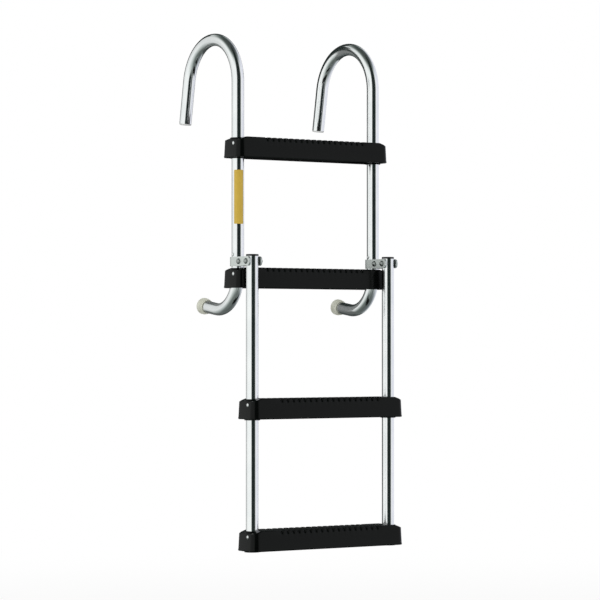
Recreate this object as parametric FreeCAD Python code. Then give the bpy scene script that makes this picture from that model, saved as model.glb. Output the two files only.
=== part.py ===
import FreeCAD, Part
import math
import os

from FreeCAD import Vector

# Folding boat ladder with two hooks and four steps. Lengths are in millimetres.
# X runs across the ladder, +Y points to the boat and +Z is up.
# The origin is midway between the hooks, at the height of the inside of their crowns,
# so it lies on the edge that the ladder hangs from.

# Tubes
tube_diameter = 25.4
tube_wall = 1.65
tube_spacing = 340.0
hook_bend_radius = 95.0
hook_bend_angle = 170.0
hook_leg_length = 90.0
hook_bend_to_pivot = 368.0
pivot_to_stand_bend = 25.0
stand_bend_radius = 72.0
stand_bend_angle = 98.0
stand_leg_length = 49.0
fold_offset = 54.0
lower_tube_above_pivot = 11.0

# Plugs, caps and rubber tips
plug_flange = 3.0
plug_round = 2.0
plug_stem = 16.0
plug_stem_clearance = 0.1
cap_flange = 3.0
cap_round = 1.4
cap_stem_above_bolt = 1.5
bumper_diameter = 34.0
bumper_depth_on_tube = 17.0
bumper_end = 5.0
bumper_round = 5.0
bumper_mouth_round = 1.2

# Steps
step_pitch = 267.0
pivot_above_step = 12.0
step_height = 42.0
step_depth = 62.0
step_overhang = 16.5
step_corner = 12.0
step_draft = 2.2
step_wall = 3.5
deck_thickness = 4.0
deck_round = 3.0
end_drop = 6.4
end_run = 19.5
rim_height = 4.0
rim_proud = 1.0
collar_wall = 3.2
collar_depth = 5.6
collar_below = 2.0
collar_under_deck = 1.2
collar_round = 0.8
rib_thickness = 2.5
rib_spacing = 54.0
rib_recess = 5.0
groove_pitch = 14.0
groove_reach = 126.0
groove_radius = 4.0
groove_sink = 2.2
floor_thickness = 4.0

# Hinge straps, bolts and rivets
strap_thickness = 3.0
strap_height = 19.0
strap_clearance = 0.3
ear_past_pivot = 13.0
ear_corner = 8.0
bolt_diameter = 6.35
bolt_head_diameter = 12.0
bolt_head_height = 4.2
bolt_head_rim = 0.8
nut_width = 11.1
nut_height = 5.6
nut_round = 0.9
nut_corner_cut = 0.08
bolt_past_nut = 1.5
clamp_bolt_forward = 27.0
stop_rivet_up = 14.5
rivet_diameter = 4.8
rivet_head_diameter = 7.5
rivet_head_height = 1.6
rivet_grip_past_wall = 2.0
step_rivet_down = 13.0
step_rivet_forward = 9.0

# Plain band on the left upright
band_up = 77.0
band_length = 113.0
band_half_angle = 69.0
band_thickness = 0.35

# Clearances
seat_clearance = 0.15
band_clearance = 0.05
bolt_clearance = 0.08
nut_clearance = 0.05

# Places worked out from the sizes above
tube_radius = tube_diameter / 2
half_spacing = tube_spacing / 2
upper_y = -hook_bend_radius
lower_y = upper_y - fold_offset
hook_centre_z = -(hook_bend_radius - tube_radius)
pivot_z = hook_centre_z - hook_bend_to_pivot
stand_bend_z = pivot_z - pivot_to_stand_bend
step_2_top = pivot_z - pivot_above_step
step_tops = {
    "step_1": step_2_top + step_pitch,
    "step_2": step_2_top,
    "step_3": step_2_top - step_pitch,
    "step_4": step_2_top - 2 * step_pitch,
}
step_half_length = half_spacing + step_overhang
lower_tube_top = pivot_z + lower_tube_above_pivot
step_4_floor = step_tops["step_4"] - step_height - collar_below
lower_tube_bottom = step_4_floor + floor_thickness + seat_clearance
ear_inside = tube_radius + strap_clearance
ear_outside = ear_inside + strap_thickness
sides = {"left": -1, "right": 1}
step_holds = {"step_1": "tubes", "step_2": "bent", "step_3": "tubes", "step_4": "ends"}
same_place = 0.001
along_x = Vector(1, 0, 0)
along_y = Vector(0, 1, 0)
along_z = Vector(0, 0, 1)


def save(node, shape):
    shape.exportStep("parts/" + node + ".step")
    print(node, round(shape.Volume), shape.isValid(), len(shape.Solids))


def side_path(x):
    """Centre line of one bent side tube, from the hook's free end to the stand-off's end."""
    def hook_point(angle):
        turn = math.radians(angle)
        y = -hook_bend_radius * math.cos(turn)
        return Vector(x, y, hook_centre_z + hook_bend_radius * math.sin(turn))

    def stand_point(angle):
        turn = math.radians(angle)
        y = upper_y + stand_bend_radius * (1 - math.cos(turn))
        return Vector(x, y, stand_bend_z - stand_bend_radius * math.sin(turn))

    hook_turn = math.radians(hook_bend_angle)
    stand_turn = math.radians(stand_bend_angle)
    leg = Vector(0, math.sin(hook_turn), math.cos(hook_turn)) * hook_leg_length
    stand = Vector(0, math.sin(stand_turn), -math.cos(stand_turn)) * stand_leg_length
    leg_top = hook_point(hook_bend_angle)
    stand_start = stand_point(stand_bend_angle)
    edges = [
        Part.LineSegment(leg_top + leg, leg_top).toShape(),
        Part.Arc(leg_top, hook_point(hook_bend_angle / 2), hook_point(0)).toShape(),
        Part.LineSegment(hook_point(0), stand_point(0)).toShape(),
        Part.Arc(stand_point(0), stand_point(stand_bend_angle / 2), stand_start).toShape(),
        Part.LineSegment(stand_start, stand_start + stand).toShape(),
    ]
    ends = {
        "hook_end": leg_top + leg,
        "hook_out": leg.normalize(),
        "stand_end": stand_start + stand,
        "stand_out": stand.normalize(),
    }
    return Part.Wire(edges), ends


def sweep(path, radius):
    start = path.OrderedVertexes[0].Point
    direction = path.OrderedEdges[0].tangentAt(path.OrderedEdges[0].FirstParameter)
    circle = Part.Wire(Part.makeCircle(radius, start, direction))
    return path.makePipeShell([circle], True, True)


def cylinder(radius, length, base, direction):
    return Part.makeCylinder(radius, length, base, direction)


def box_between(x0, x1, y0, y1, z0, z1):
    return Part.makeBox(x1 - x0, y1 - y0, z1 - z0, Vector(x0, y0, z0))


def edges_in_plane(shape, point, normal):
    """Edges whose ends all lie in the plane through a point."""
    chosen = []
    for edge in shape.Edges:
        if all(abs((vertex.Point - point).dot(normal)) < same_place for vertex in edge.Vertexes):
            chosen.append(edge)
    return chosen


def round_end(shape, point, normal, radius):
    """Rounds the round edge of a shape at its flat end through a point."""
    return shape.makeFillet(radius, edges_in_plane(shape, point, normal))


def dome(radius, height, base, out):
    """Spherical cap that stands on a flat round base."""
    ball_radius = (radius ** 2 + height ** 2) / (2 * height)
    ball = Part.makeSphere(ball_radius, base + out * (height - ball_radius))
    return ball.common(cylinder(2 * radius, 2 * height, base, out))


def make_side_tube(x):
    path, ends = side_path(x)
    return sweep(path, tube_radius).cut(sweep(path, tube_radius - tube_wall)), ends


def make_plug(base, out, flange, rounding, stem):
    """Plug in a tube's end: a stem inside and a rounded flange as wide as the tube."""
    stem_radius = tube_radius - tube_wall - plug_stem_clearance
    head = cylinder(tube_radius, flange, base, out)
    head = round_end(head, base + out * flange, out, rounding)
    return head.fuse(cylinder(stem_radius, stem, base - out * stem, out)).removeSplitter()


def make_bumper(end, out):
    """Rubber tip pushed over the end of a stand-off."""
    mouth = end - out * bumper_depth_on_tube
    length = bumper_depth_on_tube + bumper_end
    body = cylinder(bumper_diameter / 2, length, mouth, out)
    body = round_end(body, mouth + out * length, out, bumper_round)
    body = round_end(body, mouth, out, bumper_mouth_round)
    return body.cut(cylinder(tube_radius + seat_clearance, bumper_depth_on_tube, mouth, out))


def rounded_outline(half_length, half_depth, corner, centre_y, z):
    """Closed level wire of a rectangle with round corners."""
    arcs = []
    for sx, sy in ((1, 1), (-1, 1), (-1, -1), (1, -1)):
        centre = Vector(sx * (half_length - corner), centre_y + sy * (half_depth - corner), z)
        on_end = centre + along_x * (sx * corner)
        on_side = centre + along_y * (sy * corner)
        middle = centre + Vector(sx, sy, 0).normalize() * corner
        arcs.append((on_end, middle, on_side) if sx == sy else (on_side, middle, on_end))
    edges = []
    for index, (start, middle, end) in enumerate(arcs):
        next_start = arcs[(index + 1) % len(arcs)][0]
        edges.append(Part.Arc(start, middle, end).toShape())
        edges.append(Part.LineSegment(end, next_start).toShape())
    return Part.Wire(edges)


def step_block(offset, centre_y, top, low, high):
    """Drafted block with round corners: a step's outside, larger or smaller all round by an offset."""
    outlines = []
    for z in (low, high):
        spread = offset + step_draft * (top - z) / step_height
        half_length = step_half_length + spread
        half_depth = step_depth / 2 + spread
        outlines.append(rounded_outline(half_length, half_depth, step_corner + spread, centre_y, z))
    return Part.makeLoft(outlines, True, True)


def end_wedge(side, centre_y, top, sink):
    """Space above the sloping end of a step, lowered by a thickness."""
    start = step_half_length - end_run
    far = step_half_length + end_run
    low = top - sink
    profile = [
        Vector(side * start, centre_y - step_depth, low),
        Vector(side * far, centre_y - step_depth, low - end_drop * (far - start) / end_run),
        Vector(side * far, centre_y - step_depth, low + step_height),
        Vector(side * start, centre_y - step_depth, low + step_height),
    ]
    face = Part.Face(Part.makePolygon(profile + profile[:1]))
    return face.extrude(along_y * (2 * step_depth))


def deck_edges(shape, top):
    """Edges round a deck and its sloping ends, without the creases between them."""
    crease = step_half_length - end_run
    chosen = []
    for edge in shape.Edges:
        points = [vertex.Point for vertex in edge.Vertexes]
        high = all(point.z > top - step_height / 2 for point in points)
        on_crease = all(abs(abs(point.x) - crease) < same_place for point in points)
        across = abs(points[0].y - points[-1].y) > step_depth / 2
        level = abs(points[0].z - points[-1].z) < end_drop
        if high and level and not (on_crease and across):
            chosen.append(edge)
    return chosen


def step_ribs(centre_y, bottom, top):
    """Stiffening web under the deck: one long rib and a row of cross ribs."""
    low = bottom + rib_recess
    half = rib_thickness / 2
    front = centre_y - step_depth / 2
    rear = centre_y + step_depth / 2
    reach = half_spacing - tube_radius - 2 * collar_wall
    ribs = [box_between(-reach, reach, centre_y - half, centre_y + half, low, top)]
    count = int(reach // rib_spacing)
    places = [index * rib_spacing for index in range(-count, count + 1)]
    for x in places + [-reach, reach]:
        ribs.append(box_between(x - half, x + half, front, rear, low, top))
    return ribs


def step_grooves(centre_y, top):
    """Round channels across the deck, which leave the anti-slip ridges, one of them in the middle."""
    count = int(groove_reach // groove_pitch)
    grooves = []
    for index in range(-count, count):
        x = (index + 0.5) * groove_pitch
        base = Vector(x, centre_y - step_depth, top + groove_radius - groove_sink)
        grooves.append(cylinder(groove_radius, 2 * step_depth, base, along_y))
    return grooves


def make_collar(base, high):
    """Collar that a tube runs through, its rounded top just under the deck's level."""
    collar = cylinder(tube_radius + seat_clearance + collar_wall, high - base.z, base, along_z)
    return round_end(collar, Vector(base.x, base.y, high), along_z, collar_round)


def rivet_place(side, centre_y, top):
    """Centre of a step rivet's head on the outside of the end wall."""
    spread = step_draft * step_rivet_down / step_height
    return Vector(side * (step_half_length + spread), centre_y - step_rivet_forward, top - step_rivet_down)


def rivet_shank(place):
    """Length of a step rivet from the end wall's outside to just inside the tube."""
    chord = math.sqrt(tube_radius ** 2 - step_rivet_forward ** 2)
    return abs(place.x) - half_spacing - chord + tube_wall + rivet_grip_past_wall


def make_rivet(place, out, shank):
    """Domed rivet: its head on the surface and its shank through what it holds."""
    head = dome(rivet_head_diameter / 2, rivet_head_height, place, out)
    return head.fuse(cylinder(rivet_diameter / 2, shank, place - out * shank, out))


def rivet_space(place, out, shank):
    """Hole for a rivet's shank with a flat seat for its head."""
    hole = cylinder(rivet_diameter / 2 + seat_clearance, shank + tube_wall, place - out * shank, out)
    return hole.fuse(cylinder(rivet_head_diameter / 2 + seat_clearance, rivet_head_height, place, out))


def make_step(centre_y, top, holds):
    """Moulded step: drafted shell, open underneath, with sloping ends, ribs, ridges and collars.

    It holds tubes that run straight through it, tubes that bend inside it or the ends of tubes.
    """
    bottom = top - step_height
    shell = step_block(0, centre_y, top, bottom, top)
    cavity = step_block(-step_wall, centre_y, top, bottom - collar_below, top - deck_thickness)
    for side in (-1, 1):
        shell = shell.cut(end_wedge(side, centre_y, top, 0))
        cavity = cavity.cut(end_wedge(side, centre_y, top, deck_thickness))
    shell = shell.makeFillet(deck_round, deck_edges(shell, top))
    shell = shell.fuse(step_block(rim_proud, centre_y, top, bottom, bottom + rim_height))
    collar_low = bottom - collar_below
    if holds == "bent":
        collar_low = top - end_drop - deck_thickness - collar_depth
    ribs = step_ribs(centre_y, bottom, top - deck_thickness / 2)
    kept = [ribs[0].fuse(ribs[1:]).common(cavity)]
    for side in (-1, 1):
        kept.append(make_collar(Vector(side * half_spacing, centre_y, collar_low), top - collar_under_deck))
    step = shell.cut(cavity).fuse(kept)
    hole_low = collar_low
    if holds == "ends":
        hole_low = lower_tube_bottom - seat_clearance
    cuts = step_grooves(centre_y, top)
    for side in (-1, 1):
        base = Vector(side * half_spacing, centre_y, hole_low)
        cuts.append(cylinder(tube_radius + seat_clearance, top + deck_thickness - hole_low, base, along_z))
        place = rivet_place(side, centre_y, top)
        cuts.append(rivet_space(place, along_x * side, rivet_shank(place)))
    return step.cut(cuts).removeSplitter()


def make_strap(x):
    """Strap bent round the side tube, with an ear on each side of both tubes."""
    low = pivot_z - strap_height / 2
    high = pivot_z + strap_height / 2
    end_y = lower_y - ear_past_pivot
    ears = box_between(x - ear_outside, x + ear_outside, end_y, upper_y, low, high)
    end_edges = edges_in_plane(ears, Vector(x, end_y, low), along_y)
    corners = [edge for edge in end_edges if edge.Vertexes[0].Z == edge.Vertexes[-1].Z]
    ears = ears.makeFillet(ear_corner, corners)
    blank = ears.fuse(cylinder(ear_outside, strap_height, Vector(x, upper_y, low), along_z))
    inner = cylinder(ear_inside, strap_height, Vector(x, upper_y, low), along_z)
    gap = box_between(x - ear_inside, x + ear_inside, end_y, upper_y, low, high)
    holes = []
    for y in (lower_y, upper_y - clamp_bolt_forward):
        base = Vector(x - ear_outside, y, pivot_z)
        holes.append(cylinder(bolt_diameter / 2 + bolt_clearance, 2 * ear_outside, base, along_x))
    return blank.cut([inner, gap] + holes).removeSplitter()


def make_bolt(x, y):
    """Dome-headed bolt through a strap's ears, its head on their -X side."""
    face = Vector(x - ear_outside, y, pivot_z)
    head = cylinder(bolt_head_diameter / 2, bolt_head_rim, face, -along_x)
    dome_base = face - along_x * bolt_head_rim
    cap = dome(bolt_head_diameter / 2, bolt_head_height - bolt_head_rim, dome_base, -along_x)
    shank = cylinder(bolt_diameter / 2, 2 * ear_outside + nut_height + bolt_past_nut, face, along_x)
    return head.fuse([cap, shank]).removeSplitter()


def hexagon(width, centre):
    """Hexagon face across X, given by its width across the flats."""
    corner = width / math.sqrt(3)
    points = []
    for index in range(7):
        turn = math.radians(60 * index)
        points.append(centre + Vector(0, corner * math.cos(turn), corner * math.sin(turn)))
    return Part.Face(Part.makePolygon(points))


def make_nut(x, y):
    """Hexagon nut with its outer corners rounded off."""
    face = Vector(x + ear_outside, y, pivot_z)
    blank = cylinder(nut_width / math.sqrt(3) - nut_corner_cut, nut_height, face, along_x)
    blank = round_end(blank, face + along_x * nut_height, along_x, nut_round)
    body = hexagon(nut_width, face).extrude(along_x * nut_height).common(blank)
    return body.cut(cylinder(bolt_diameter / 2 + nut_clearance, nut_height, face, along_x))


def make_band():
    """Thin plain band on the front of the left upright."""
    inner = tube_radius + band_clearance
    base = Vector(-half_spacing, upper_y, pivot_z + band_up)
    band = Part.makeCylinder(inner + band_thickness, band_length, base, along_z, 2 * band_half_angle)
    band = band.cut(cylinder(inner, band_length, base, along_z))
    band.rotate(base, along_z, -90 - band_half_angle)
    return band


os.makedirs("parts", exist_ok=True)

# Steps and their rivets
rivet_spaces = {"upper": [], "lower": []}
for name, top in step_tops.items():
    section = "upper" if name in ("step_1", "step_2") else "lower"
    step_y = upper_y if section == "upper" else lower_y
    save(name, make_step(step_y, top, step_holds[name]))
    for side_name, side in sides.items():
        place = rivet_place(side, step_y, top)
        out = along_x * side
        save(name + "_" + side_name + "_rivet", make_rivet(place, out, rivet_shank(place)))
        rivet_spaces[section].append(rivet_space(place, out, rivet_shank(place)))

# Tubes with what is pushed into and onto their ends, and the hinge at each side
for side_name, side in sides.items():
    x = side * half_spacing
    tube, ends = make_side_tube(x)
    stop = Vector(x - tube_radius, upper_y, pivot_z + stop_rivet_up)
    stop_shank = tube_wall + rivet_grip_past_wall
    tube = tube.cut(rivet_spaces["upper"] + [rivet_space(stop, -along_x, stop_shank)])
    save(side_name + "_side_tube", tube)
    save(side_name + "_stop_rivet", make_rivet(stop, -along_x, stop_shank))
    plug = make_plug(ends["hook_end"], ends["hook_out"], plug_flange, plug_round, plug_stem)
    save(side_name + "_hook_plug", plug)
    save(side_name + "_bumper", make_bumper(ends["stand_end"], ends["stand_out"]))
    print(side_name, "bumper face", ends["stand_end"] + ends["stand_out"] * bumper_end, ends["stand_out"])

    low = Vector(x, lower_y, lower_tube_bottom)
    length = lower_tube_top - lower_tube_bottom
    lower = cylinder(tube_radius, length, low, along_z)
    lower = lower.cut(cylinder(tube_radius - tube_wall, length, low, along_z))
    pivot = Vector(x - tube_diameter, lower_y, pivot_z)
    hole = cylinder(bolt_diameter / 2 + bolt_clearance, 2 * tube_diameter, pivot, along_x)
    save(side_name + "_lower_tube", lower.cut(rivet_spaces["lower"] + [hole]))
    cap_base = Vector(x, lower_y, lower_tube_top)
    cap_stem = lower_tube_above_pivot - bolt_diameter / 2 - cap_stem_above_bolt
    save(side_name + "_tube_cap", make_plug(cap_base, along_z, cap_flange, cap_round, cap_stem))

    save(side_name + "_hinge_strap", make_strap(x))
    save(side_name + "_pivot_bolt", make_bolt(x, lower_y))
    save(side_name + "_pivot_nut", make_nut(x, lower_y))
    save(side_name + "_clamp_bolt", make_bolt(x, upper_y - clamp_bolt_forward))
    save(side_name + "_clamp_nut", make_nut(x, upper_y - clamp_bolt_forward))

save("amber_band", make_band())
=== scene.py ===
import bpy, bmesh, math
from mathutils import Matrix, Vector


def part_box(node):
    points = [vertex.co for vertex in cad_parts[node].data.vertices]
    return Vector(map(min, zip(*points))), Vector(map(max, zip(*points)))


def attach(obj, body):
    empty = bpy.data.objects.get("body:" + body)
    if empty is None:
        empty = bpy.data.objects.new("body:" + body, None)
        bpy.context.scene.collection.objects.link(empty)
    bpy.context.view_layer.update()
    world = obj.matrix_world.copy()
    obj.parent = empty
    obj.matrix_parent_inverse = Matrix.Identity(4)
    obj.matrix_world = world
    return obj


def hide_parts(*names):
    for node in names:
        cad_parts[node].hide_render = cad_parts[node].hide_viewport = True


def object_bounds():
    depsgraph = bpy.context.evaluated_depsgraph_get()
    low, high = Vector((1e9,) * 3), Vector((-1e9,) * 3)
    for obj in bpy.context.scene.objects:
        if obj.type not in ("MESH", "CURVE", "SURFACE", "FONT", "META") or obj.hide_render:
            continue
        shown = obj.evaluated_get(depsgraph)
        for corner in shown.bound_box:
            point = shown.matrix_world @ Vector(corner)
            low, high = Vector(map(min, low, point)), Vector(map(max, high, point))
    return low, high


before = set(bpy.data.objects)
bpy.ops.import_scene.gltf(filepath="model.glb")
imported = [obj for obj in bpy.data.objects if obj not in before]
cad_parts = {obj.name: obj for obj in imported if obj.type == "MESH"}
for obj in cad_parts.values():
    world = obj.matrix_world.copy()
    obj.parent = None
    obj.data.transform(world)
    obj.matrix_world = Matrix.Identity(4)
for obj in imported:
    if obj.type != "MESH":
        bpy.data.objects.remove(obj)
frameLow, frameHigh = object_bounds()
mm = 0.001
along = {"x": Vector((1, 0, 0)), "y": Vector((0, 1, 0)), "z": Vector((0, 0, 1))}
sides = {"left": -1, "right": 1}
print("frame loaded:", len(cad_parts), "nodes")


# numbers in shaders are written as plain sums on these wires

class Wire:
    def __init__(self, shader, socket):
        self.shader = shader
        self.socket = socket

    def math(self, operation, first, second):
        return self.shader.add("ShaderNodeMath", {"operation": operation}, {0: first, 1: second})

    def __add__(self, other):
        return self.math("ADD", self, other)

    def __sub__(self, other):
        return self.math("SUBTRACT", self, other)

    def __rsub__(self, other):
        return self.math("SUBTRACT", other, self)

    def __mul__(self, other):
        return self.math("MULTIPLY", self, other)

    __radd__ = __add__
    __rmul__ = __mul__


class Shader:
    def __init__(self, owner):
        owner.use_nodes = True
        self.tree = owner.node_tree
        self.tree.nodes.clear()

    def add(self, kind, settings=None, sockets=None, out=0):
        made = self.tree.nodes.new(kind)
        for name, value in (settings or {}).items():
            if name == "stops":
                ramp = made.color_ramp
                while len(ramp.elements) < len(value):
                    ramp.elements.new(0.5)
                for element, (place, color) in zip(ramp.elements, value):
                    element.position = place
                    element.color = (*color, 1)
            else:
                setattr(made, name, value)
        for name, value in (sockets or {}).items():
            if isinstance(value, Wire):
                self.tree.links.new(value.socket, made.inputs[name])
            elif isinstance(value, tuple) and made.inputs[name].type == "RGBA":
                made.inputs[name].default_value = (*value, 1)
            else:
                made.inputs[name].default_value = value
        return Wire(self, made.outputs[out]) if made.outputs else None

    def split(self, vector):
        parts = self.add("ShaderNodeSeparateXYZ", {}, {0: vector})
        return [Wire(self, output) for output in parts.socket.node.outputs]

    def noise(self, where, scale, detail=2.0, roughness=0.5):
        sockets = {"Vector": where, "Scale": scale, "Detail": detail, "Roughness": roughness}
        return self.add("ShaderNodeTexNoise", {}, sockets)

    def stretched(self, where, factors):
        return self.add("ShaderNodeVectorMath", {"operation": "MULTIPLY"}, {0: where, 1: factors})

    def span(self, value, low, high, start=0.0, end=1.0):  # smooth step from one value to another
        settings = {"interpolation_type": "SMOOTHSTEP"}
        return self.add("ShaderNodeMapRange", settings, {0: value, 1: low, 2: high, 3: start, 4: end})

    def mixed(self, share, first, second):  # colours
        return self.add("ShaderNodeMix", {"data_type": "RGBA"}, {0: share, 6: first, 7: second}, 2)

    def bump(self, height, depth, strength=1.0):
        return self.add("ShaderNodeBump", {}, {"Height": height, "Distance": depth, "Strength": strength})


def newMaterial(name, describe):
    material = bpy.data.materials.new(name)
    shader = Shader(material)
    surface = describe(shader)
    shader.add("ShaderNodeOutputMaterial", {}, {"Surface": surface})
    return material


def principled(shader, **sockets):
    named = {key.replace("_", " "): value for key, value in sockets.items()}
    return shader.add("ShaderNodeBsdfPrincipled", {}, named)


# one finish for each slot of the record

def polishedTube(shader):
    across = shader.add("ShaderNodeTexCoord", {}, {}, "UV")  # u round the tube, v along it, in metres
    drawn = shader.noise(shader.stretched(across, (2600.0, 9.0, 1.0)), 1.0, 3.0)
    cloud = shader.noise(shader.add("ShaderNodeTexCoord", {}, {}, "Object"), 22.0, 3.0)
    tint = shader.mixed(shader.span(cloud, 0.35, 0.7), (0.86, 0.875, 0.885), (0.93, 0.935, 0.94))
    rough = 0.085 + 0.05 * cloud + 0.03 * drawn
    return principled(shader, Base_Color=tint, Metallic=1.0, Roughness=rough,
                      Normal=shader.bump(drawn, 0.000004, 0.5))


def stepPlastic(shader):
    where = shader.add("ShaderNodeTexCoord", {}, {}, "Object")
    upward = shader.split(shader.add("ShaderNodeTexCoord", {}, {}, "Normal"))[2]  # turns with the step
    deck = shader.span(upward, 0.96, 0.995)
    grain = shader.noise(where, 1500.0, 2.0, 0.6)
    cloud = shader.noise(where, 14.0, 4.0)
    scuff = shader.span(shader.noise(shader.stretched(where, (1.0, 1.0, 3.0)), 160.0, 3.0), 0.62, 0.75)
    worn = shader.span(shader.noise(shader.stretched(where, (1.0, 3.0, 1.0)), 26.0, 5.0, 0.65), 0.36, 0.68)
    tint = shader.mixed(scuff * 0.35, shader.mixed(cloud, (0.001, 0.0014, 0.0013), (0.0022, 0.0027, 0.0025)),
                        (0.009, 0.01, 0.0095))
    tint = shader.mixed(deck * (0.35 + 0.45 * worn), tint, (0.013, 0.0138, 0.0134))
    rough = 0.13 + 0.08 * cloud + 0.06 * grain + 0.2 * deck
    return principled(shader, Base_Color=tint, Roughness=rough, Specular_IOR_Level=0.14,
                      Normal=shader.bump(grain, 0.00003, 0.5))


def paleRubber(shader):
    where = shader.add("ShaderNodeTexCoord", {}, {}, "Object")
    grain = shader.noise(where, 900.0, 3.0, 0.6)
    cloud = shader.noise(where, 70.0, 4.0)
    dusty = shader.span(cloud, 0.4, 0.68)
    tint = shader.mixed(dusty, (0.48, 0.49, 0.41), (0.58, 0.59, 0.51))
    return principled(shader, Base_Color=tint, Roughness=0.66 + 0.2 * cloud, Specular_IOR_Level=0.35,
                      Normal=shader.bump(grain, 0.00003, 0.35))


def moulded(first, second, roughness, grainDepth):
    def describe(shader):
        where = shader.add("ShaderNodeTexCoord", {}, {}, "Object")
        cloud = shader.noise(where, 60.0, 3.0)
        grain = shader.noise(where, 1400.0, 2.0)
        return principled(shader, Base_Color=shader.mixed(cloud, first, second),
                          Roughness=roughness + 0.15 * cloud, Normal=shader.bump(grain, grainDepth, 0.5))
    return describe


def worked(first, second, roughness, lineScale, lineDepth):  # metal with a fine directional finish
    def describe(shader):
        where = shader.add("ShaderNodeTexCoord", {}, {}, "Object")
        cloud = shader.noise(where, 90.0, 4.0)
        lines = shader.noise(shader.stretched(where, lineScale), 1.0, 3.0)
        return principled(shader, Base_Color=shader.mixed(cloud, first, second), Metallic=1.0,
                          Roughness=roughness + 0.14 * cloud + 0.08 * lines,
                          Normal=shader.bump(lines, lineDepth, 0.6))
    return describe


finishes = {
    "polished_tube": newMaterial("polishedTube", polishedTube),
    "step_plastic": newMaterial("stepPlastic", stepPlastic),
    "pale_rubber": newMaterial("paleRubber", paleRubber),
    "plug_plastic": newMaterial("plugPlastic", moulded((0.56, 0.57, 0.56), (0.64, 0.65, 0.64), 0.3, 0.00001)),
    "cap_plastic": newMaterial("capPlastic", moulded(
        (0.009, 0.009, 0.01), (0.014, 0.014, 0.015), 0.38, 0.00003)),
    "strap_metal": newMaterial("strapMetal", worked(
        (0.68, 0.72, 0.7), (0.82, 0.85, 0.83), 0.3, (500.0, 500.0, 2200.0), 0.00001)),
    "bolt_steel": newMaterial("boltSteel", worked(
        (0.3, 0.32, 0.31), (0.42, 0.44, 0.43), 0.2, (1800.0, 1800.0, 1800.0), 0.000004)),
    "rivet_metal": newMaterial("rivetMetal", worked(
        (0.74, 0.75, 0.75), (0.84, 0.85, 0.85), 0.16, (1500.0, 1500.0, 1500.0), 0.000004)),
    "amber_vinyl": newMaterial("amberVinyl", moulded((0.47, 0.315, 0.035), (0.55, 0.375, 0.05), 0.32, 0.00001)),
}
print("finishes made:", len(finishes))


# helpers for the meshes; profiles and outlines are in millimetres

def placed(name, data):
    made = bpy.data.objects.new(name, data)
    bpy.context.scene.collection.objects.link(made)
    return made


def newPiece(name, body, slotName, points, faces, replaced=(), sharp=35.0, uv=None):
    mesh = bpy.data.meshes.new(name)
    mesh.from_pydata([tuple(p) for p in points], [], faces)
    work = bmesh.new()
    work.from_mesh(mesh)
    if uv:
        layer = work.loops.layers.uv.new("along")
        for face, corners in zip(work.faces, uv):
            for loop, place in zip(face.loops, corners):
                loop[layer].uv = place
    bmesh.ops.recalc_face_normals(work, faces=work.faces)
    work.to_mesh(mesh)
    work.free()
    mesh.shade_smooth()
    mesh.set_sharp_from_angle(angle=math.radians(sharp))
    piece = placed(name, mesh)
    mesh.materials.append(finishes[slotName])
    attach(piece, body)
    if replaced:
        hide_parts(*replaced)
    return piece


def roundedProfile(corners, steps=6):
    # corners are (radius, height, rounding) in mm; each rounding becomes an arc
    out = []
    for index, (r, h, rounding) in enumerate(corners):
        here = Vector((r, h))
        if rounding <= 0 or index in (0, len(corners) - 1):
            out.append(here)
            continue
        before = (Vector(corners[index - 1][:2]) - here).normalized()
        after = (Vector(corners[index + 1][:2]) - here).normalized()
        opening = before.angle(after)
        reach = rounding / math.tan(opening / 2)
        centre = here + (before + after).normalized() * (rounding / math.sin(opening / 2))
        first = here + before * reach - centre
        turn = first.angle_signed(here + after * reach - centre)
        for step in range(steps + 1):
            spun = first.copy()
            spun.rotate(Matrix.Rotation(-turn * step / steps, 2))
            out.append(centre + spun)
    return out


def sideways(axis):
    first = axis.orthogonal().normalized()
    return first, axis.cross(first).normalized()


def latheFaces(points, faces, base, axis, profile, count=48, closed=False):
    first, second = sideways(axis)
    rings = []
    for spot in profile:
        if spot.x < 1e-6:
            rings.append([len(points)])
            points.append(base + axis * spot.y * mm)
            continue
        rings.append([len(points) + k for k in range(count)])
        for k in range(count):
            turn = 2 * math.pi * k / count
            arm = first * math.cos(turn) + second * math.sin(turn)
            points.append(base + (axis * spot.y + arm * spot.x) * mm)
    for low, high in zip(rings, rings[1:] + rings[:1] if closed else rings[1:]):
        for k in range(count):
            nextK = (k + 1) % count
            if len(low) == 1:
                faces.append([low[0], high[k], high[nextK]])
            elif len(high) == 1:
                faces.append([low[k], low[nextK], high[0]])
            else:
                faces.append([low[k], low[nextK], high[nextK], high[k]])


def lathe(name, body, slotName, base, axis, profile, count=48, replaced=(), sharp=35.0):
    points, faces = [], []
    latheFaces(points, faces, base, axis, profile, count)
    return newPiece(name, body, slotName, points, faces, replaced, sharp)


def middle(node):
    low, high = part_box(node)
    return (low + high) / 2


# side tubes with their hooks and stand-offs
sideTube = {
    "radius": 12.7, "hookRadius": 95.0, "hookAngle": 170.0, "hookLeg": 90.0,
    "pivotToBend": 25.0, "standRadius": 72.0, "standAngle": 98.0, "standLeg": 49.0,
    "around": 64, "degreesPerRing": 2.0, "uprightRings": 8, "endRound": 0.5,
}
pivotHeight = middle("left_hinge_strap").z / mm
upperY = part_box("left_side_tube")[0].y / mm + sideTube["radius"]
lowerY = middle("left_lower_tube").y / mm
halfSpacing = middle("right_lower_tube").x / mm
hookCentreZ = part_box("left_side_tube")[1].z / mm - sideTube["hookRadius"] - sideTube["radius"]


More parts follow.
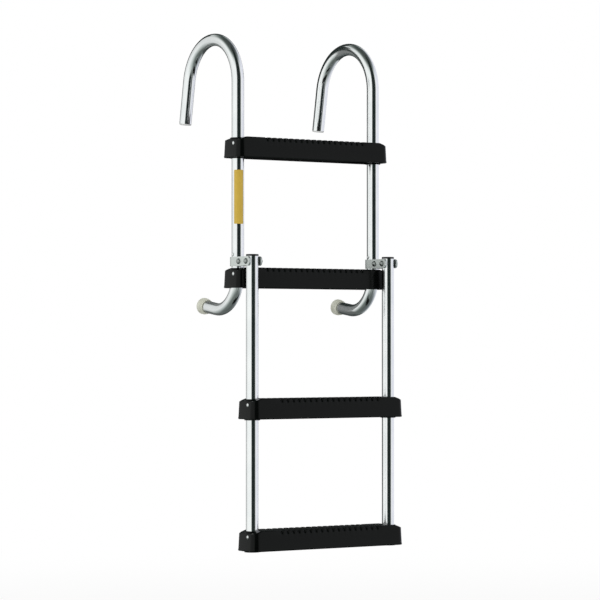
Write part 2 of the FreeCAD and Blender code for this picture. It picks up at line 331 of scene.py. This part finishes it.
def sidePath():
    # centre line in the plane of one side tube, as (y, z) points with their directions
    s = sideTube
    places = []

    def hook(angle):
        turn = math.radians(angle)
        y = upperY + s["hookRadius"] * (1 - math.cos(turn))
        spot = Vector((y, hookCentreZ + s["hookRadius"] * math.sin(turn)))
        return spot, Vector((-math.sin(turn), -math.cos(turn)))

    def stand(angle):
        turn = math.radians(angle)
        y = upperY + s["standRadius"] * (1 - math.cos(turn))
        spot = Vector((y, pivotHeight - s["pivotToBend"] - s["standRadius"] * math.sin(turn)))
        return spot, Vector((math.sin(turn), -math.cos(turn)))

    spot, way = hook(s["hookAngle"])
    end = spot - way * s["hookLeg"]
    for share in (0.0, 0.5):
        places.append((end.lerp(spot, share), way))
    count = round(s["hookAngle"] / s["degreesPerRing"])
    places += [hook(s["hookAngle"] * (1 - k / count)) for k in range(count + 1)]
    straightTop, straightEnd = places[-1][0], stand(0)[0]
    places += [(straightTop.lerp(straightEnd, k / s["uprightRings"]), Vector((0, -1)))
               for k in range(1, s["uprightRings"])]
    count = round(s["standAngle"] / s["degreesPerRing"])
    places += [stand(s["standAngle"] * k / count) for k in range(count + 1)]
    spot, way = places[-1]
    places += [(spot + way * s["standLeg"] * share, way) for share in (0.5, 1.0)]
    return places


def sweptTube(name, body, slotName, x, places, radius, replaced):
    count, endRound = sideTube["around"], sideTube["endRound"]
    (firstSpot, firstWay), (lastSpot, lastWay) = places[0], places[-1]
    rows = [(firstSpot, firstWay, radius - endRound), (firstSpot + firstWay * endRound, firstWay, radius)]
    rows += [(spot, way, radius) for spot, way in places[1:-1]]
    rows += [(lastSpot - lastWay * endRound, lastWay, radius), (lastSpot, lastWay, radius - endRound)]
    points, faces, uv, lengths, run = [], [], [], [], 0.0
    for index, (spot, way, r) in enumerate(rows):
        if index:
            run += (spot - rows[index - 1][0]).length
        lengths.append(run * mm)
        out = Vector((-way.y, way.x))
        for k in range(count):
            turn = 2 * math.pi * k / count
            flat = spot + out * (r * math.sin(turn))
            points.append(Vector((x + r * math.cos(turn), flat.x, flat.y)) * mm)
    for row in range(len(rows) - 1):
        v0, v1 = lengths[row], lengths[row + 1]
        for k in range(count):
            a, b = row * count + k, row * count + (k + 1) % count
            faces.append([a, b, b + count, a + count])
            u0, u1 = (2 * math.pi * radius * mm * share / count for share in (k, k + 1))
            uv.append([(u0, v0), (u1, v0), (u1, v1), (u0, v1)])
    for row in (0, len(rows) - 1):  # ends, under plug, cap or rubber
        faces.append([row * count + k for k in range(count)])
        uv.append([(0.0, lengths[row])] * count)
    return newPiece(name, body, slotName, points, faces, replaced, 40.0, uv)


lowerTube = {"top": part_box("left_lower_tube")[1].z / mm, "bottom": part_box("left_lower_tube")[0].z / mm,
             "rings": 12}
places = sidePath()
for sideName, side in sides.items():
    x = side * halfSpacing
    sweptTube("sideTube." + sideName, "upper_section", "polished_tube", x, places, sideTube["radius"],
              (sideName + "_side_tube",))
    height = lowerTube["top"] - lowerTube["bottom"]
    straight = [(Vector((lowerY, lowerTube["bottom"] + height * k / lowerTube["rings"])), Vector((0, 1)))
                for k in range(lowerTube["rings"] + 1)]
    sweptTube("lowerTube." + sideName, "lower_section", "polished_tube", x, straight, sideTube["radius"],
              (sideName + "_lower_tube",))
print("tubes made")


# plugs, caps and rubber tips
plug = {"radius": 12.7, "flange": 3.0, "rounding": 2.0, "seam": 0.35, "seat": 0.05,
        "stem": 10.9, "stemLength": 5.0}
cap = {"radius": 12.82, "flange": 3.0, "rounding": 1.0, "skirt": 0.9, "skirtRound": 0.1}
bumper = {"radius": 17.0, "onTube": 15.5, "end": 5.0, "endRound": 5.0, "bore": 12.85, "boreDepth": 4.0,
          "boreEdge": (0.3, 0.5), "mouth": 14.6, "mouthEdge": 0.2, "mouthRound": 1.0,
          "shoulder": 5.0, "shoulderRound": 8.0, "arcSteps": 8}
plugProfile = roundedProfile([
    (0.0, -plug["stemLength"], 0), (plug["stem"], -plug["stemLength"], 0), (plug["stem"], plug["seat"], 0),
    (plug["radius"], plug["seat"], plug["seam"]), (plug["radius"], plug["flange"], plug["rounding"]),
    (0.0, plug["flange"], 0)])
capProfile = roundedProfile([
    (0.0, -cap["skirt"], 0), (cap["radius"], -cap["skirt"], cap["skirtRound"]),
    (cap["radius"], cap["flange"], cap["rounding"]), (0.0, cap["flange"], 0)])


def bumperProfile():
    b = bumper
    mouth, (edgeRise, edgeReach) = -b["onTube"], b["boreEdge"]
    return roundedProfile([
        (0.0, mouth + b["boreDepth"], 0), (b["bore"], mouth + b["boreDepth"], 0),
        (b["bore"], mouth + edgeRise, 0), (b["bore"] + edgeReach, mouth, b["mouthEdge"]),
        (b["mouth"], mouth, b["mouthRound"]),
        (b["radius"], -b["shoulder"], b["shoulderRound"]), (b["radius"], b["end"], b["endRound"]),
        (0.0, b["end"], 0)], b["arcSteps"])


def pathPoint(x, spot):
    return Vector((x, spot.x, spot.y)) * mm


def pathWay(way):
    return Vector((0, way.x, way.y))


for sideName, side in sides.items():
    x = side * halfSpacing
    spot, way = places[0]
    lathe("hookPlug." + sideName, "upper_section", "plug_plastic", pathPoint(x, spot), -pathWay(way),
          plugProfile, sideTube["around"], (sideName + "_hook_plug",))
    top = Vector((x, lowerY, lowerTube["top"])) * mm
    lathe("tubeCap." + sideName, "lower_section", "cap_plastic", top, along["z"],
          capProfile, sideTube["around"], (sideName + "_tube_cap",))
    spot, way = places[-1]
    lathe("bumper." + sideName, "upper_section", "pale_rubber", pathPoint(x, spot), pathWay(way),
          bumperProfile(), sideTube["around"], (sideName + "_bumper",))
print("plugs, caps and rubber tips made")


# hinge straps with their bolts and nuts, and the rivets
strap = {"inside": 13.0, "thickness": 3.0, "height": 19.0, "earPast": 13.0, "corner": 8.0, "cornerSteps": 10,
         "bendSteps": 24, "edge": 0.45, "edgeAngle": 50.0}
bolt = {"shank": 3.175, "head": 6.0, "headHeight": 4.2, "headRim": 0.8, "headEdge": 0.15, "pastNut": 1.5,
        "thread": 9.0, "threadStop": 1.2, "pitch": 1.27, "threadDepth": 0.4, "tip": 0.5}
nut = {"width": 11.1, "height": 5.6, "around": 72, "chamfer": 0.75, "chamferSteps": 5,
       "cornerRound": 0.08, "footInset": 0.35, "footRise": 0.15}
rivet = {"head": 3.75, "height": 1.6, "shank": 2.4, "lip": 0.25, "edge": 0.06, "shown": 3.0, "around": 32}


def makeStrap(sideName, x):
    s = strap
    endY = lowerY - s["earPast"]
    left, right, bend = Vector((-1.0, 0.0)), Vector((1.0, 0.0)), Vector((0.0, upperY))
    ear = []  # from an ear's end to its full height: y and half height
    for k in range(s["cornerSteps"] + 1):
        turn = math.pi / 2 * k / s["cornerSteps"]
        half = s["height"] / 2 - s["corner"] + s["corner"] * math.sin(turn)
        ear.append((endY + s["corner"] * (1 - math.cos(turn)), half))
    # rows hold the way out, the point it starts from and half the height there
    rows = [(left, Vector((0.0, y)), half) for y, half in ear]
    rows.append((left, bend, s["height"] / 2))
    for k in range(1, s["bendSteps"]):
        turn = math.pi * k / s["bendSteps"]
        rows.append((Vector((-math.cos(turn), math.sin(turn))), bend, s["height"] / 2))
    rows.append((right, bend, s["height"] / 2))
    rows += [(right, Vector((0.0, y)), half) for y, half in reversed(ear)]
    points, faces = [], []
    for out, base, half in rows:
        for reach, z in ((s["inside"], -half), (s["inside"] + s["thickness"], -half),
                         (s["inside"] + s["thickness"], half), (s["inside"], half)):
            flat = base + out * reach
            points.append(Vector((x + flat.x, flat.y, pivotHeight + z)) * mm)
    for row in range(len(rows) - 1):
        for k in range(4):
            a, b = row * 4 + k, row * 4 + (k + 1) % 4
            faces.append([a, b, b + 4, a + 4])
    faces += [[3, 2, 1, 0], [len(points) - 4 + k for k in range(4)]]
    piece = newPiece("hingeStrap." + sideName, "upper_section", "strap_metal", points, faces,
                     (sideName + "_hinge_strap",), 40.0)
    edge = piece.modifiers.new("edges", "BEVEL")
    edge.width, edge.segments, edge.harden_normals = s["edge"] * mm, 3, True
    edge.limit_method, edge.angle_limit = "ANGLE", math.radians(s["edgeAngle"])


def domeArc(radius, height, base, steps=10):
    ball = (radius ** 2 + height ** 2) / (2 * height)
    reach = math.asin(radius / ball)
    turns = [reach * (1 - k / steps) for k in range(steps + 1)]
    return [Vector((ball * math.sin(turn), base + ball * (math.cos(turn) - 1) + height)) for turn in turns]


def makeBolt(name, body, x, y, node):
    b = bolt
    length = 2 * (strap["inside"] + strap["thickness"]) + nut["height"] + b["pastNut"]
    profile = domeArc(b["head"], b["headHeight"] - b["headRim"], b["headRim"])[::-1]
    profile += [Vector((b["head"], b["headEdge"])), Vector((b["head"] - b["headEdge"], 0.0)),
                Vector((b["shank"], 0.0))]
    z = -length + b["thread"]
    profile.append(Vector((b["shank"], z)))
    while z > -length + b["threadStop"]:
        profile.append(Vector((b["shank"] - b["threadDepth"], z - b["pitch"] / 2)))
        profile.append(Vector((b["shank"], z - b["pitch"])))
        z -= b["pitch"]
    profile += [Vector((b["shank"] - b["tip"], -length)), Vector((0.0, -length))]
    face = Vector((x - strap["inside"] - strap["thickness"], y, pivotHeight)) * mm
    lathe(name, body, "bolt_steel", face, -along["x"], profile, 48, (node,), 28.0)


def makeNut(name, x, y, node):
    # a closed ring of levels: height, and how far out the hexagon may reach there
    n = nut
    corner, chamfer = n["width"] / math.sqrt(3), n["chamfer"]
    full = corner - n["cornerRound"]
    points, faces, rings = [], [], []
    levels = [(0.0, bolt["shank"]), (0.0, corner - n["footInset"]), (n["footRise"], full)]
    for k in range(n["chamferSteps"] + 1):
        turn = math.pi / 2 * k / n["chamferSteps"]
        levels.append((n["height"] - chamfer + chamfer * math.sin(turn), full - chamfer * (1 - math.cos(turn))))
    levels.append((n["height"], bolt["shank"]))
    base = Vector((x + strap["inside"] + strap["thickness"], y, pivotHeight))
    for height, limit in levels:
        rings.append([])
        for k in range(n["around"]):
            turn = 2 * math.pi * k / n["around"]
            flat = n["width"] / 2 / math.cos((turn % (math.pi / 3)) - math.pi / 6)
            r = min(flat, limit)
            rings[-1].append(len(points))
            points.append((base + Vector((height, r * math.cos(turn), r * math.sin(turn)))) * mm)
    for low, high in zip(rings, rings[1:] + rings[:1]):
        for k in range(n["around"]):
            nextK = (k + 1) % n["around"]
            faces.append([low[k], low[nextK], high[nextK], high[k]])
    newPiece(name, "upper_section", "bolt_steel", points, faces, (node,), 25.0)


def makeRivet(name, body, node, out):
    r = rivet
    low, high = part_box(node)
    centre = (low + high) / 2
    centre.x = high.x - r["height"] * mm if out.x > 0 else low.x + r["height"] * mm
    profile = domeArc(r["head"], r["height"] - r["lip"], r["lip"])[::-1]
    profile += [Vector((r["head"], r["edge"])), Vector((r["head"] - r["edge"], 0.0)), Vector((r["shank"], 0.0)),
                Vector((r["shank"], -r["shown"])), Vector((0.0, -r["shown"]))]
    lathe(name, body, "rivet_metal", centre, out, profile, r["around"], (node,), 40.0)


clampY = middle("left_clamp_bolt").y / mm
stepBodies = {"step_1": "upper_section", "step_2": "upper_section", "step_3": "lower_section",
              "step_4": "lower_section"}
for sideName, side in sides.items():
    x = side * halfSpacing
    makeStrap(sideName, x)
    makeBolt("pivotBolt." + sideName, "upper_section", x, lowerY, sideName + "_pivot_bolt")
    makeBolt("clampBolt." + sideName, "upper_section", x, clampY, sideName + "_clamp_bolt")
    makeNut("pivotNut." + sideName, x, lowerY, sideName + "_pivot_nut")
    makeNut("clampNut." + sideName, x, clampY, sideName + "_clamp_nut")
    makeRivet("stopRivet." + sideName, "upper_section", sideName + "_stop_rivet", -along["x"])
    for step, body in stepBodies.items():
        makeRivet(step + "Rivet." + sideName, body, step + "_" + sideName + "_rivet", along["x"] * side)
print("hinges and rivets made")


# plain band on the left upright
band = {"angles": (-69.0, 24.0), "belowTop": 2.5, "inner": 12.75, "thickness": 0.35,
        "corner": 1.5, "cornerSteps": 4, "around": 40}


def makeBand():
    low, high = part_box("amber_band")
    bottom, top = low.z / mm, high.z / mm - band["belowTop"]
    start, end = (math.radians(angle) for angle in band["angles"])
    corner = band["corner"]
    turns = [math.pi / 2 * k / band["cornerSteps"] for k in range(band["cornerSteps"] + 1)]
    rows = [(bottom + corner * (1 - math.cos(t)), corner * (1 - math.sin(t))) for t in turns]
    rows += [(bottom + top - z, cut) for z, cut in reversed(rows)]
    outer = band["inner"] + band["thickness"]
    points, faces = [], []
    for z, cut in rows:
        first, last = start + cut / outer, end - cut / outer
        for r in (band["inner"], outer):
            for k in range(band["around"] + 1):
                turn = first + (last - first) * k / band["around"]
                spot = Vector((-halfSpacing + r * math.sin(turn), upperY - r * math.cos(turn), z))
                points.append(spot * mm)
    n = band["around"] + 1
    for row in range(len(rows) - 1):
        here, there = row * 2 * n, (row + 1) * 2 * n
        for k in range(band["around"]):
            faces.append([here + n + k, here + n + k + 1, there + n + k + 1, there + n + k])
            faces.append([here + k, there + k, there + k + 1, here + k + 1])
        faces.append([here, here + n, there + n, there])
        faces.append([here + n - 1, there + n - 1, there + 2 * n - 1, here + 2 * n - 1])
    topRow = (len(rows) - 1) * 2 * n
    for k in range(band["around"]):
        faces.append([k, k + 1, n + k + 1, n + k])
        faces.append([topRow + k, topRow + n + k, topRow + n + k + 1, topRow + k + 1])
    newPiece("amberBand", "upper_section", "amber_vinyl", points, faces, ("amber_band",), 40.0)


makeBand()
print("band made")


# steps: a drafted shell open underneath, with ridges across its deck and sloping ends
stepForm = {
    "halfLength": 186.5, "halfDepth": 31.0, "corner": 12.0, "height": 42.0,
    "draft": 2.2, "wall": 3.5, "deck": 4.0,
    "endRun": 19.5, "endDrop": 6.4, "creaseRound": 1.5, "edgeRound": 2.2, "cornerSteps": 12, "roundSteps": 8,
    "footRound": 2.0, "footSteps": 4, "footInside": 0.4, "rimHeight": 4.0, "rimProud": 0.35,
    "rimFade": ((0.78, 1.0), (0.9, 0.9), (1.0, 0.6), (1.08, 0.2), (1.2, 0.0)),  # height share, proud share
    "runOut": ((6.0, 0.8), (6.8, 0.62), (7.6, 0.36), (8.4, 0.14), (9.4, 0.0)), "runOutDepth": 0.8,
    "ridgePitch": 14.0, "ridgeReach": 126.0, "channelRadius": 4.0, "channelSink": 2.2, "ridgeRound": 0.55,
    "channelPlaces": (0.0, 0.9, 1.7, 2.4), "ridgeLip": ((-0.12, -0.28), (0.12, -0.07)),
    "plainFrom": 140.0, "creasePlaces": (-1.5, -0.75, 0.0, 0.75, 1.5, 4.0),
    "rib": 1.25, "ribSpacing": 54.0, "ribRecess": 5.0, "ribEdge": 0.5, "ribInDeck": 1.0, "ribInWall": 0.4,
    "collar": 16.05, "bore": 12.85, "collarUnder": 1.2, "collarRound": 0.8, "collarSteps": 5,
    "collarFoot": 0.5, "boreEdge": 0.3, "floor": 4.0,
}
collarEnds = {"step_1": -44.0, "step_2": -16.0, "step_3": -44.0, "step_4": -44.0}  # under the deck


def deckColumns():
    # places along the deck and the depth of its channels there
    f = stepForm
    half = math.sqrt(f["channelRadius"] ** 2 - (f["channelRadius"] - f["channelSink"]) ** 2)
    shape = [(x, f["channelRadius"] - f["channelSink"] - math.sqrt(f["channelRadius"] ** 2 - x ** 2))
             for x in (*f["channelPlaces"], half - f["ridgeRound"])]
    shape += [(half + off, depth) for off, depth in f["ridgeLip"]] + [(half + f["ridgeRound"], 0.0)]
    count = int(f["ridgeReach"] // f["ridgePitch"])
    columns = {}
    for index in range(-count, count):
        for off, depth in shape:
            for sign in (-1, 1):
                columns[round((index + 0.5) * f["ridgePitch"] + sign * off, 4)] = depth
    crease = f["halfLength"] - f["endRun"]
    for x in [f["plainFrom"]] + [crease + off for off in f["creasePlaces"]]:
        columns[x] = columns[-x] = 0.0
    return sorted(columns.items())


def endFall(x):
    # how far the deck has come down at x, with a soft crease where the end starts to slope
    f = stepForm
    run, soft = abs(x) - (f["halfLength"] - f["endRun"]), f["creaseRound"]
    if run < -soft:
        return 0.0
    return f["endDrop"] / f["endRun"] * (run if run > soft else (run + soft) ** 2 / (4 * soft))


def stepPlan():
    # round the step's plan: centre x and y, the way out from there, and the channel's depth
    f = stepForm
    cornerX, cornerY = f["halfLength"] - f["corner"], f["halfDepth"] - f["corner"]
    columns = deckColumns()
    turns = [math.pi / 2 * k / f["cornerSteps"] for k in range(f["cornerSteps"] + 1)]
    plan = [(x, -cornerY, 0.0, -1.0, depth) for x, depth in columns]
    plan += [(cornerX, -cornerY, math.sin(t), -math.cos(t), 0.0) for t in turns]
    plan += [(cornerX, cornerY, math.cos(t), math.sin(t), 0.0) for t in turns]
    plan += [(x, cornerY, 0.0, 1.0, depth) for x, depth in reversed(columns)]
    plan += [(-cornerX, cornerY, -math.sin(t), math.cos(t), 0.0) for t in turns]
    plan += [(-cornerX, -cornerY, -math.cos(t), -math.sin(t), 0.0) for t in turns]
    return plan, len(columns), len(turns)


def stepRows():
    # from the deck's underside round the foot and up the outside: offset, height above the foot or depth
    # under the deck, and how much of a channel's depth shows there
    f = stepForm
    inner = -f["wall"]
    rows = [(inner + f["draft"] * f["deck"] / f["height"], None, f["deck"], 0.0)]
    rows.append((inner + f["draft"], f["footInside"], None, 0.0))
    rows.append((inner + f["draft"] + f["footInside"], 0.0, None, 0.0))
    foot, rounding = f["draft"] + f["rimProud"], f["footRound"]
    for k in range(f["footSteps"] + 1):
        turn = math.pi / 2 * k / f["footSteps"]
        rows.append((foot - rounding * (1 - math.sin(turn)), rounding * (1 - math.cos(turn)), None, 0.0))
    for share, proud in f["rimFade"]:
        height = f["rimHeight"] * share
        rows.append((f["draft"] * (1 - height / f["height"]) + f["rimProud"] * proud, height, None, 0.0))
    rows.append((f["draft"] / 2, f["height"] / 2, None, 0.0))
    for drop, share in reversed(f["runOut"]):
        rows.append((f["draft"] * drop / f["height"], f["height"] - drop, None, share))
    return rows


def prismFaces(points, faces, start, end):
    first, count = len(points), len(start)
    points += [Vector(spot) * mm for spot in start + end]
    for k in range(count):
        nextK = (k + 1) % count
        faces.append([first + k, first + nextK, first + count + nextK, first + count + k])
    faces += [[first + k for k in reversed(range(count))], [first + count + k for k in range(count)]]


def ribFaces(points, faces, centreY, top):
    f = stepForm
    low, high = top - f["height"] + f["ribRecess"], top - f["deck"] + f["ribInDeck"]
    half, edge = f["rib"], f["ribEdge"]
    across = [(-half, high), (-half, low + edge), (edge - half, low),
              (half - edge, low), (half, low + edge), (half, high)]
    reach = halfSpacing - sideTube["radius"] - 2 * (f["collar"] - f["bore"])
    prismFaces(points, faces, *([(x, centreY + t, z) for t, z in across] for x in (-reach, reach)))

    def wallY(z):  # just inside the wall's inner face
        return f["halfDepth"] - f["wall"] + f["draft"] * (top - z) / f["height"] + f["ribInWall"]

    count = int(reach // f["ribSpacing"])
    for x in [index * f["ribSpacing"] for index in range(-count, count + 1)] + [-reach, reach]:
        prismFaces(points, faces, *([(x + t, centreY + side * wallY(z), z) for t, z in across]
                                    for side in (-1, 1)))


def collarProfile(top, low, closed):
    f = stepForm
    high, soft, bore, edge = top - f["collarUnder"], f["collarRound"], f["bore"], f["boreEdge"]
    turns = [math.pi / 2 * k / f["collarSteps"] for k in range(f["collarSteps"] + 1)]
    outer = [Vector((f["collar"] - f["collarFoot"], low)), Vector((f["collar"], low + f["collarFoot"]))]
    outer += [Vector((f["collar"] - soft * (1 - math.cos(t)), high - soft * (1 - math.sin(t)))) for t in turns]
    inner = [Vector((bore + edge, high)), Vector((bore, high - edge))]
    if closed:
        floor = [Vector((bore, low + f["floor"])), Vector((0.0, low + f["floor"]))]
        return [Vector((0.0, low))] + outer + inner + floor
    return outer + inner + [Vector((bore, low + edge)), Vector((bore + edge, low))]


def makeStep(step, body):
    f = stepForm
    low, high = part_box(step)
    top, centreY = high.z / mm, (low.y + high.y) / 2 / mm
    bottom = top - f["height"]
    plan, columnCount, cornerCount = stepPlan()
    count = len(plan)
    points, faces = [], []
    rows = stepRows()
    for offset, height, depth, share in rows:
        for x, y, outX, outY, channel in plan:
            reach = f["corner"] + offset + channel * share
            spotX = x + outX * reach
            z = bottom + height if depth is None else top - endFall(spotX) - depth
            points.append(Vector((spotX, centreY + y + outY * reach, z)) * mm)
    for k in range(f["roundSteps"] + 1):
        turn = math.pi / 2 * k / f["roundSteps"]
        drop, inset = f["edgeRound"] * (1 - math.sin(turn)), f["edgeRound"] * (1 - math.cos(turn))
        for x, y, outX, outY, channel in plan:
            reach = f["corner"] + f["draft"] * drop / f["height"] - inset + channel * f["runOutDepth"]
            spotX = x + outX * reach
            z = top - endFall(spotX) - drop + channel
            points.append(Vector((spotX, centreY + y + outY * reach, z)) * mm)
    rowCount = len(rows) + f["roundSteps"] + 1
    for row in range(rowCount - 1):
        for k in range(count):
            a, b = row * count + k, row * count + (k + 1) % count
            faces.append([a, b, b + count, a + count])
    for row in (0, rowCount - 1):  # the deck's underside and the deck, in strips from front to rear
        ring = [row * count + k for k in range(count)]
        half = columnCount + cornerCount
        front = ring[count - cornerCount:] + ring[:half]
        rear = ring[half:count - cornerCount][::-1]
        for k in range(len(front) - 1):
            faces.append([front[k], front[k + 1], rear[k + 1], rear[k]])
    ribFaces(points, faces, centreY, top)
    closed = step == "step_4"  # its collars have a floor under the tubes
    collar = collarProfile(top, top + collarEnds[step], closed)
    for side in sides.values():
        base = Vector((side * halfSpacing, centreY, 0)) * mm
        latheFaces(points, faces, base, along["z"], collar, sideTube["around"], not closed)
    newPiece("ribbedStep" + step[-2:], body, "step_plastic", points, faces, (step,), 35.0)


for step, body in stepBodies.items():
    makeStep(step, body)
print("steps made")


# floor, lamps, surroundings and camera
studio = {"floorBelow": 0.32, "floorSize": 40.0, "floorColors": ((0.8, 0.8, 0.8), (0.84, 0.84, 0.83)),
          "whiteFrom": (0.6, 4.0), "leastWhite": 0.72, "fill": 0.82,
          "keyPower": 90.0, "keySize": 2.4, "keyPlace": (-3.4, -2.6, 2.2), "keyAim": (0.0, 0.0, -0.5)}
view = {"azimuth": -34.18, "tilt": 0.849, "lens": 162.0, "sensor": 36.0, "place": (-3.1668, -4.7343, -0.6106),
        "farthest": 200.0}
surroundings = {  # what gloss reflects, by compass angle from -Y and by height, in degrees
    "darkStrip": (-55, -41, 12, 36), "darkFrom": (-48, -14), "darkColor": (0.012, 0.019, 0.0175),
    "behind": (112, 158), "behindColor": (0.74, 0.76, 0.75),
    "darkBehind": (136, 152, 164, 178), "darkBehindFrom": (16, 32), "darkBehindColor": (0.05, 0.07, 0.065),
    "right": (20, 60), "rightColor": (0.82, 0.83, 0.9), "wallColor": (0.97, 1.0, 0.985),
    "heights": ((-90, 0.14), (-45, 0.2), (-26, 0.6), (-10, 1.0), (28, 1.0),
                (40, 0.76), (50, 0.28), (62, 0.09), (90, 0.07)),
}
lookFrom = Vector((0.0, -0.12, -0.55))  # middle of the ladder


def reflected(shader, direction):
    # light walls with a dark gap on the viewer's side, greyer behind, a dark ceiling and a dim floor
    s = surroundings
    dirX, dirY, dirZ = shader.split(direction)
    compass = shader.add("ShaderNodeMath", {"operation": "ARCTAN2"}, {0: dirX, 1: 0 - dirY})
    away = shader.add("ShaderNodeMath", {"operation": "ABSOLUTE"}, {0: compass})

    def around(value, name):
        return shader.span(value, *(math.radians(angle) for angle in s[name]))

    def upward(name):
        return shader.span(dirZ, *(math.sin(math.radians(angle)) for angle in s[name]))

    def between(name):
        left, leftFull, rightFull, right = (math.radians(angle) for angle in s[name])
        return shader.span(compass, left, leftFull) * shader.span(compass, rightFull, right, 1.0, 0.0)

    def dimmed(value):  # what is dim turns a little green
        return value * (0.86 + 0.14 * value), value, value * (0.94 + 0.06 * value)

    wall = shader.mixed(around(compass, "right"), s["wallColor"], s["rightColor"])
    wall = shader.mixed(around(away, "behind"), wall, s["behindColor"])
    stops = [((math.sin(math.radians(height)) + 1) / 2, dimmed(value)) for height, value in s["heights"]]
    byHeight = shader.add("ShaderNodeValToRGB", {"stops": stops}, {0: (dirZ + 1) * 0.5})
    settings = {"data_type": "RGBA", "blend_type": "MULTIPLY"}
    lit = shader.add("ShaderNodeMix", settings, {0: 1.0, 6: wall, 7: byHeight}, 2)
    lit = shader.mixed(between("darkBehind") * upward("darkBehindFrom"), lit, s["darkBehindColor"])
    return shader.mixed(between("darkStrip") * upward("darkFrom"), lit, s["darkColor"])


def floorLook(shader):
    camera = shader.add("ShaderNodeLightPath", {}, {}, "Is Camera Ray")
    glossy = shader.add("ShaderNodeLightPath", {}, {}, "Is Glossy Ray")
    where = shader.add("ShaderNodeTexCoord", {}, {}, "Object")
    fromLadder = tuple(Vector((0, 0, frameLow.z - studio["floorBelow"])) - lookFrom)
    direction = shader.add("ShaderNodeVectorMath", {"operation": "ADD"}, {0: where, 1: fromLadder})
    direction = shader.add("ShaderNodeVectorMath", {"operation": "NORMALIZE"}, {0: direction})
    distance = shader.add("ShaderNodeVectorMath", {"operation": "LENGTH"}, {0: where}, "Value")
    color = shader.mixed(glossy, (1.0, 1.0, 1.0), reflected(shader, direction))
    shown = shader.add("ShaderNodeEmission", {}, {"Color": color})
    cloud = shader.noise(where, 3.0, 3.0)
    plain = shader.add("ShaderNodeBsdfDiffuse", {}, {"Color": shader.mixed(cloud, *studio["floorColors"])})
    share = camera * shader.span(distance, *studio["whiteFrom"], studio["leastWhite"], 1.0) + glossy
    return shader.add("ShaderNodeMixShader", {}, {0: share, 1: plain, 2: shown})


floorMesh = bpy.data.meshes.new("floor")
floorHalf = studio["floorSize"] / 2
outline = [(x * floorHalf, y * floorHalf, 0) for x, y in ((-1, -1), (1, -1), (1, 1), (-1, 1))]
floorMesh.from_pydata(outline, [], [[0, 1, 2, 3]])
floorMesh.materials.append(newMaterial("paleFloor", floorLook))
floor = placed("floor", floorMesh)
floor.location.z = frameLow.z - studio["floorBelow"]

# a dark cloth behind the ladder that only gloss shows, paler to the left and towards its foot
clothForm = {"x": (-0.3, 0.0, 0.8), "z": (-1.3, 0.42, 0.62), "y": 0.55, "greyFrom": (-0.75, 0.1),
             "low": (0.06, 0.07, 0.068), "high": (0.018, 0.025, 0.023),
             "paleFrom": (0.14, 0.04), "paleBelow": (0.0, -0.12), "paleDownTo": (-0.82, -0.66),
             "pale": (0.2, 0.21, 0.205), "paleFoot": (0.12, 0.13, 0.125)}


def clothLook(shader):
    c = clothForm
    across, _, height = shader.split(shader.add("ShaderNodeTexCoord", {}, {}, "Object"))
    grey = shader.mixed(shader.span(height, *c["greyFrom"]), c["low"], c["high"])
    pale = shader.mixed(shader.span(height, *c["paleDownTo"]), c["paleFoot"], c["pale"])
    share = shader.span(across, *c["paleFrom"]) * shader.span(height, *c["paleBelow"])
    return shader.add("ShaderNodeEmission", {}, {"Color": shader.mixed(share, grey, pale)})


clothMesh = bpy.data.meshes.new("darkCloth")
(left, notch, right), (bottom, leftTop, rightTop) = clothForm["x"], clothForm["z"]
outline = [(x, clothForm["y"], z) for x, z in (
    (left, bottom), (right, bottom), (right, rightTop), (notch, rightTop), (notch, leftTop), (left, leftTop))]
clothMesh.from_pydata(outline, [], [list(range(len(outline)))])
clothMesh.materials.append(newMaterial("darkCloth", clothLook))
cloth = placed("darkCloth", clothMesh)
cloth.visible_camera = cloth.visible_diffuse = cloth.visible_shadow = cloth.visible_transmission = False

keyLight = bpy.data.lights.new("key", "AREA")
keyLight.energy, keyLight.size = studio["keyPower"], studio["keySize"]
key = placed("key", keyLight)
key.location = studio["keyPlace"]
key.rotation_euler = (Vector(studio["keyAim"]) - key.location).to_track_quat("-Z", "Y").to_euler()
key.visible_glossy = False

world = bpy.data.worlds.new("studio")
bpy.context.scene.world = world
sky = Shader(world)
glossyRay = sky.add("ShaderNodeLightPath", {}, {}, "Is Glossy Ray")
cameraRay = sky.add("ShaderNodeLightPath", {}, {}, "Is Camera Ray")
fill = (studio["fill"],) * 3
color = sky.mixed(glossyRay, fill, reflected(sky, sky.add("ShaderNodeTexCoord", {}, {}, "Generated")))
color = sky.mixed(cameraRay, color, (1.0, 1.0, 1.0))
background = sky.add("ShaderNodeBackground", {}, {"Color": color, "Strength": 1.0})
sky.add("ShaderNodeOutputWorld", {}, {"Surface": background})

cameraData = bpy.data.cameras.new("camera")
cameraData.lens, cameraData.sensor_width = view["lens"], view["sensor"]
cameraData.clip_end = view["farthest"]
camera = placed("camera", cameraData)
camera.location = view["place"]
camera.rotation_euler = (math.radians(90 + view["tilt"]), 0, math.radians(view["azimuth"]))
bpy.context.scene.camera = camera
bpy.context.scene.view_settings.view_transform = "Standard"

print("scene ready")
